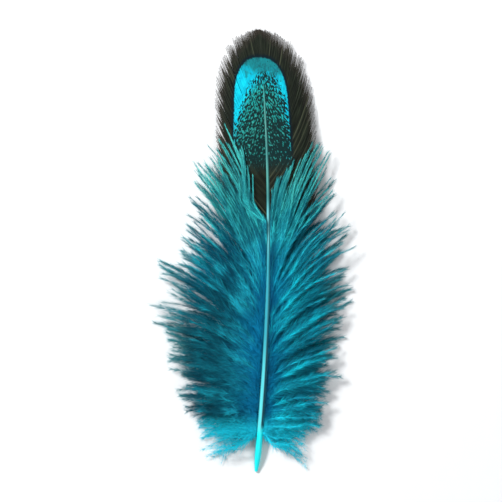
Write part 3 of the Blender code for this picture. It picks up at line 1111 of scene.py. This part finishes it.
# The plain vane: dark, with some paler barbs, browner ends and a darker rim round the patch.
PLAIN_COLOURS = colour(0.007, 0.010, 0.007), colour(0.022, 0.030, 0.018)
PLAIN_TINTS = {
    "tone": ((0.84, 1.0), colour(0.065, 0.075, 0.045)),
    "along": ((0.75, 1.0, 0.0, 0.8), colour(0.060, 0.052, 0.042)),
}
FRINGE_COLOUR = colour(0.15, 0.115, 0.10)
RIM_INSIDE = (0.97, 1.04)
RIM_OUTSIDE = (1.35, 1.08)
RIM_FOOT = (60.0, 68.0)
RIM_COLOUR = colour(0.002, 0.012, 0.020)


def arch(look, across, up, middle, half_width, flare, top, height, power):
    """1 on the outline of an arch whose sides flare downwards, less inside and more outside."""
    aside = look.absolute(look.minus(across, middle))
    half_width = look.scaled(look.minus(top, up), flare, half_width)
    aside = look.maths("POWER", look.maths("DIVIDE", aside, half_width), power)
    above = look.maths("MAXIMUM", look.minus(up, top - height), 0.0)
    above = look.maths("POWER", look.maths("DIVIDE", above, height), power)
    return look.plus(aside, above)


def patch_outlines(look, across, up):
    """The outlines of the patch and of its flecked part, both a little ragged."""
    ragged = look.noise(look.vector(across, up), 2.2, 3.0, 0.6)
    jitter = look.times(look.minus(ragged, 0.5), RAGGED_EDGE)
    middle = look.scaled(up, *PATCH_MIDDLE)
    outer = look.plus(arch(look, across, up, middle, **PATCH_ARCH), jitter)
    # The flecked part stands farther left the lower it is, until it meets the patch's left edge.
    middle = look.scaled(up, *FLECKED_MIDDLE)
    inner = look.plus(arch(look, across, up, middle, **FLECKED_ARCH), jitter)
    return outer, inner


def dark_flecks(look, across, up, inner):
    """1 on the flecks, which lean in towards the shaft as they rise, and 0 between them."""
    # They are read from the noise aslant, so that its square grid doesn't show, and apart on
    # each side.
    narrower = look.share(up, *FLECKS_NARROWER_ABOVE)
    narrower = look.plus(narrower, look.share(up, *FLECKS_NARROWER_BELOW))
    aside = look.absolute(across)
    rise = look.times(up, FLECK_STRETCH)
    over = look.scaled(aside, narrower, look.times(rise, FLECK_SLANT))
    rise = look.scaled(aside, FLECK_LEAN, rise)
    slant = look.times(over, FLECK_SLANT)
    depth = look.scaled(look.maths("SIGN", across), FLECK_SIDES_APART, slant)
    depth = look.scaled(rise, FLECK_DEPTH_SLANT, depth)
    flecks = look.noise(look.vector(over, rise, depth), FLECK_SCALE, 1.0, 0.5)
    level = look.share(inner, *FLECKS_INSIDE)
    level = look.maths("MAXIMUM", level, look.share(up, *FLECKS_AT_FOOT))
    level = look.plus(level, look.share(up, *MORE_FLECKS_DOWN))
    level = look.plus(level, look.share(across, *MORE_FLECKS_RIGHT))
    level = look.plus(level, look.share(up, *MORE_FLECKS_AT_FOOT))
    return look.share(look.minus(level, flecks), *FLECK_EDGE)


def between_flecks(look, across, up, inner):
    """The patch's own colour, without the flecks."""
    blotch = look.noise(look.vector(across, look.times(up, 0.6), 7.0), 1.0, 3.0, 0.6)
    light = look.blend(look.share(blotch, 0.35, 0.65), *PATCH_BLUES)
    top = look.scaled(look.maths("MINIMUM", across, 0.0), ARCH_TOP_SLANT, up)
    top = look.scaled(blotch, ARCH_TOP_RAGGED, top)
    light = look.tinted(light, top, ARCH_TOP, ARCH_TOP_COLOUR)
    mottle = look.noise(look.vector(across, look.times(up, 0.7), 23.0), 1.5, 2.0, 0.6)
    mottle = look.times(look.share(mottle, 0.48, 0.66), look.share(top, *MOTTLED_TOP))
    light = look.blend(mottle, light, MOTTLE_COLOUR)
    for span, tint in INWARD_TINTS:
        light = look.tinted(light, inner, span, tint)
    for span, tint in DOWNWARD_TINTS:
        light = look.tinted(light, up, span, tint)
    # Some of the gaps between flecks are dimmer than others, and some are paler.
    dim = look.noise(look.vector(across, look.times(up, 0.8), 41.0), 1.9, 1.0)
    dim = look.times(look.share(dim, 0.44, 0.62, 0.0, 0.62), look.share(inner, 0.95, 0.7))
    light = look.blend(dim, light, DIM_COLOUR)
    pale = look.noise(look.vector(across, up, 3.0), 1.6, 1.0)
    pale = look.times(look.share(pale, 0.5, 0.72, 0.0, 0.5), look.share(inner, 1.0, 0.8))
    return look.blend(pale, light, PALER_COLOUR)


def plain_vane(look, up, outer):
    """The colour of the vane outside its patch."""
    tone = look.mark("tone")
    streak = look.vector(look.times(tone, 40.0), look.times(up, 0.25))
    plain = look.blend(look.share(look.noise(streak, 1.0), 0.35, 0.7), *PLAIN_COLOURS)
    for mark, (span, tint) in PLAIN_TINTS.items():
        plain = look.tinted(plain, look.mark(mark), span, tint)
    plain = look.blend(look.times(look.mark("fray"), 0.5), plain, FRINGE_COLOUR)
    rim = look.times(look.share(outer, *RIM_INSIDE), look.share(outer, *RIM_OUTSIDE))
    rim = look.times(rim, look.share(up, *RIM_FOOT))
    return look.blend(rim, plain, RIM_COLOUR)


def vane_look():
    look = Look("dyed_vane")
    across, up = look.mark("across"), look.mark("up")
    outer, inner = patch_outlines(look, across, up)
    light = between_flecks(look, across, up, inner)
    flecked = look.blend(dark_flecks(look, across, up, inner), light, FLECK_COLOUR)
    patch = look.times(look.share(outer, *PATCH_EDGE), look.share(up, *PATCH_FOOT))
    body = look.blend(patch, plain_vane(look, up, outer), flecked)
    return look.finish(body, 0.6, Specular_IOR_Level=0.12)


# The down, from the shaft outwards: deep blue roots, duller barbs, and greyer ones far out.
DOWN_PATCHES = 0.16
ROOT_COLOURS = colour(0.001, 0.19, 0.42), colour(0.002, 0.28, 0.54)
BARB_COLOURS = colour(0.003, 0.11, 0.20), colour(0.004, 0.22, 0.35)
# Right of the shaft the barbs are painted lighter: painted light against the shade that falls on
# that side, away from the key light.
RIGHT_OF_SHAFT = (0.5, 3.0, 0.0, 0.75)
RIGHT_PAINTED_LIGHT_COLOUR = colour(0.016, 0.44, 0.63)
ROOT_TO_BARB = (0.05, 0.40)
UPPER_DOWN = (42.0, 60.0, 0.0, 0.7)
UPPER_COLOUR = colour(0.010, 0.22, 0.26)
LOW_LEFT_ACROSS = (-4.0, -11.0)
LOW_LEFT_UP = (43.0, 33.0)
LOW_LEFT_COLOUR = colour(0.004, 0.075, 0.11)
FAR_MIDDLE = -2.0
FAR_OUT = (10.0, 21.0)
FAR_COLOUR = colour(0.015, 0.11, 0.14)
TINTING = 0.7

# The shade close along the shaft, deepest on its right.
SHADE_NEAR = (1.9, 0.6)
SHADE_SIDE = (-1.2, 0.4, 0.25, 1.0)
SHADE_TOP = (56.0, 48.0)
SHADE_SHARE = 0.75
SHADE_COLOUR = colour(0.002, 0.050, 0.130)

# The glints: bright broken lines on the highest barbs, and single bright barbules.
GLINT_CREST = (0.2, 0.85)
GLINT_RUN = (0.40, 0.56)
GLINT_FRAY = (1.0, 0.2, 0.3, 1.0)
GLINT_HAIR = (0.72, 1.0, 0.0, 0.5)
GLINT_ALONG = (0.06, 0.35, 0.1, 1.0)
GLINT_FAR = (0.0, 1.0, 1.0, 0.6)
GLINT_GLOW = (0.38, 0.60, 0.5, 1.25)
GLINT_SIDE = (1.0, -3.0)
GLINT_COLOURS = colour(0.015, 0.82, 1.0), colour(0.024, 0.61, 0.78)
GLINT_UP = (38.0, 56.0)
GLINT_UPPER_COLOUR = colour(0.065, 0.80, 0.80)
DIM_HAIR = (0.45, 0.0)
DIM_ALONG = (0.1, 0.5, 0.3, 0.75)
DIM_HAIR_COLOUR = colour(0.003, 0.050, 0.075)
MINT_UP = (50.0, 62.0)
MINT_ALONG = (0.3, 0.9)
MINT_COLOUR = colour(0.13, 0.80, 0.74)

# The painted shade on what lies under the rest, the bright foot of the down, and its pale ends round
# the outline.
UNDER_CREST = (0.0, 0.4, 0.5, 1.0)
UNDER_ENDS = (0.50, 0.85, 0.0, 0.75)
UNDER_SHADE_COLOUR = colour(0.003, 0.060, 0.095)
FOOT_UP = (12.5, 8.5)
FOOT_HAIR = (0.0, 0.5, 0.5, 1.0)
FOOT_TINTING = 0.9
FOOT_COLOUR = colour(0.020, 0.82, 1.0)
ENDS_ALONG = (0.72, 1.0)
ENDS_FAR = (0.0, 0.5)
ENDS_FRAY = (0.0, 1.0, 0.65, 0.9)
ENDS_COLOUR = colour(0.085, 0.400, 0.440)


def glints(look, across, up, along, fray, hair, far, low_left):
    """How brightly the highest barbs and single barbules catch the light."""
    run = look.vector(look.times(look.mark("tone"), 90.0), look.times(along, 4.5))
    lit = look.share(look.mark("crest"), *GLINT_CREST)
    lit = look.times(lit, look.share(look.noise(run, 1.0), *GLINT_RUN))
    lit = look.times(lit, look.share(fray, *GLINT_FRAY))
    lit = look.plus(lit, look.share(hair, *GLINT_HAIR))
    lit = look.times(lit, look.share(along, *GLINT_ALONG))
    lit = look.times(lit, look.share(far, *GLINT_FAR))
    glow = look.noise(look.vector(across, look.times(up, 0.7), 11.0), 0.30, 1.0)
    lit = look.times(lit, look.share(glow, *GLINT_GLOW))
    return look.times(lit, look.share(low_left, *GLINT_FAR))


def down_look():
    look = Look("dyed_down_with_painted_light")
    across, up, along = (look.mark(name) for name in ("across", "up", "along"))
    fray, hair = look.mark("fray"), look.mark("hair")
    patchy = look.noise(look.vector(across, up), DOWN_PATCHES, 2.0)
    root = look.blend(patchy, *ROOT_COLOURS)
    dull = look.blend(look.share(patchy, 0.35, 0.65), *BARB_COLOURS)
    # Painted light: the barbs right of the shaft are lighter.
    dull = look.tinted(dull, across, RIGHT_OF_SHAFT, RIGHT_PAINTED_LIGHT_COLOUR)
    body = look.blend(look.share(along, *ROOT_TO_BARB), root, dull)
    body = look.tinted(body, up, UPPER_DOWN, UPPER_COLOUR)
    low_left = look.times(look.share(across, *LOW_LEFT_ACROSS), look.share(up, *LOW_LEFT_UP))
    body = look.blend(look.times(low_left, TINTING), body, LOW_LEFT_COLOUR)
    far = look.share(look.absolute(look.minus(across, FAR_MIDDLE)), *FAR_OUT)
    body = look.blend(look.times(far, TINTING), body, FAR_COLOUR)
    near = look.share(look.absolute(across), *SHADE_NEAR)
    shade = look.times(look.share(across, *SHADE_SIDE), near)
    shade = look.times(shade, look.share(up, *SHADE_TOP))
    body = look.blend(look.times(shade, SHADE_SHARE), body, SHADE_COLOUR)
    lit = glints(look, across, up, along, fray, hair, far, low_left)
    glint = look.blend(look.share(across, *GLINT_SIDE), *GLINT_COLOURS)
    glint = look.tinted(glint, up, GLINT_UP, GLINT_UPPER_COLOUR)
    body = look.blend(lit, body, glint)
    dim = look.times(look.share(hair, *DIM_HAIR), look.share(along, *DIM_ALONG))
    body = look.blend(dim, body, DIM_HAIR_COLOUR)
    mint = look.times(look.share(up, *MINT_UP), look.share(along, *MINT_ALONG))
    mint = look.times(mint, look.scaled(lit, 0.7, 0.12))
    body = look.blend(mint, body, MINT_COLOUR)
    # What lies under the rest is painted darker, as shade, except for its ends, which show paler
    # round the outline.
    over = look.times(look.mark("layer"), look.share(look.mark("crest"), *UNDER_CREST))
    over = look.maths("MAXIMUM", over, look.share(along, *UNDER_ENDS))
    body = look.blend(over, UNDER_SHADE_COLOUR, body)
    foot = look.times(look.share(up, *FOOT_UP), look.share(hair, *FOOT_HAIR))
    body = look.blend(look.times(foot, FOOT_TINTING), body, FOOT_COLOUR)
    ends = look.times(look.share(along, *ENDS_ALONG), look.share(far, *ENDS_FAR))
    ends = look.times(ends, look.share(fray, *ENDS_FRAY))
    body = look.blend(ends, body, ENDS_COLOUR)
    return look.finish(body, 0.6, Specular_IOR_Level=0.08)


# The floor, the lights and the camera. Powers are in watts.
FLOOR_SIZE = 2.0
FLOOR_GRAIN = 400.0
FLOOR_COLOURS = colour(0.86, 0.87, 0.88), colour(0.88, 0.89, 0.90)
SKY_COLOUR = colour(0.96, 0.98, 1.0)
SKY_STRENGTH = 0.34
LIGHTS = {
    "key": {"place": (-0.36, 0.27, 0.40), "size": 0.14, "power": 4.2},
    "fill": {"place": (0.35, -0.2, 0.5), "size": 0.4, "power": 1.0},
}
CAMERA_HEIGHT = 0.285
CAMERA_LENS = 100
CAMERA_SENSOR = 36


def lay_floor():
    bpy.ops.object.select_all(action="DESELECT")
    bpy.ops.mesh.primitive_plane_add(size=FLOOR_SIZE, location=(0, 0, 0))
    floor = bpy.context.object
    floor.name = "floor"
    look = Look("pale_floor")
    place = look.tree.nodes.new("ShaderNodeTexCoord").outputs["Object"]
    shade = look.blend(look.noise(place, FLOOR_GRAIN), *FLOOR_COLOURS)
    floor.data.materials.append(look.finish(shade, 0.8))


def area_light(name, place, size, power):
    """A round light that shines on the middle of the feather."""
    data = bpy.data.lights.new(name, "AREA")
    data.shape = "DISK"
    data.size = size
    data.energy = power
    light = bpy.data.objects.new(name, data)
    bpy.context.scene.collection.objects.link(light)
    light.location = place
    light.rotation_euler = (-Vector(place)).to_track_quat("-Z", "Y").to_euler()


def light_and_frame():
    world = bpy.data.worlds.new("studio")
    bpy.context.scene.world = world
    world.use_nodes = True
    background = world.node_tree.nodes["Background"]
    background.inputs["Color"].default_value = SKY_COLOUR
    background.inputs["Strength"].default_value = SKY_STRENGTH
    for name, light in LIGHTS.items():
        area_light(name, **light)
    data = bpy.data.cameras.new("camera")
    data.lens = CAMERA_LENS
    data.sensor_width = CAMERA_SENSOR
    camera = bpy.data.objects.new("camera", data)
    bpy.context.scene.collection.objects.link(camera)
    camera.location = (0, 0, CAMERA_HEIGHT)
    bpy.context.scene.camera = camera
    bpy.context.scene.view_settings.view_transform = "Standard"


light_and_frame()
lay_floor()
model_shaft(shaft_look())
grow_vane().as_piece(vane_look(), "vane", smooth_shaded=True)
down = down_look()
for growth in grow_down():
    growth.as_piece(down, "down", smooth_shaded=False)
grow_crown().as_piece(down, "down", smooth_shaded=False)
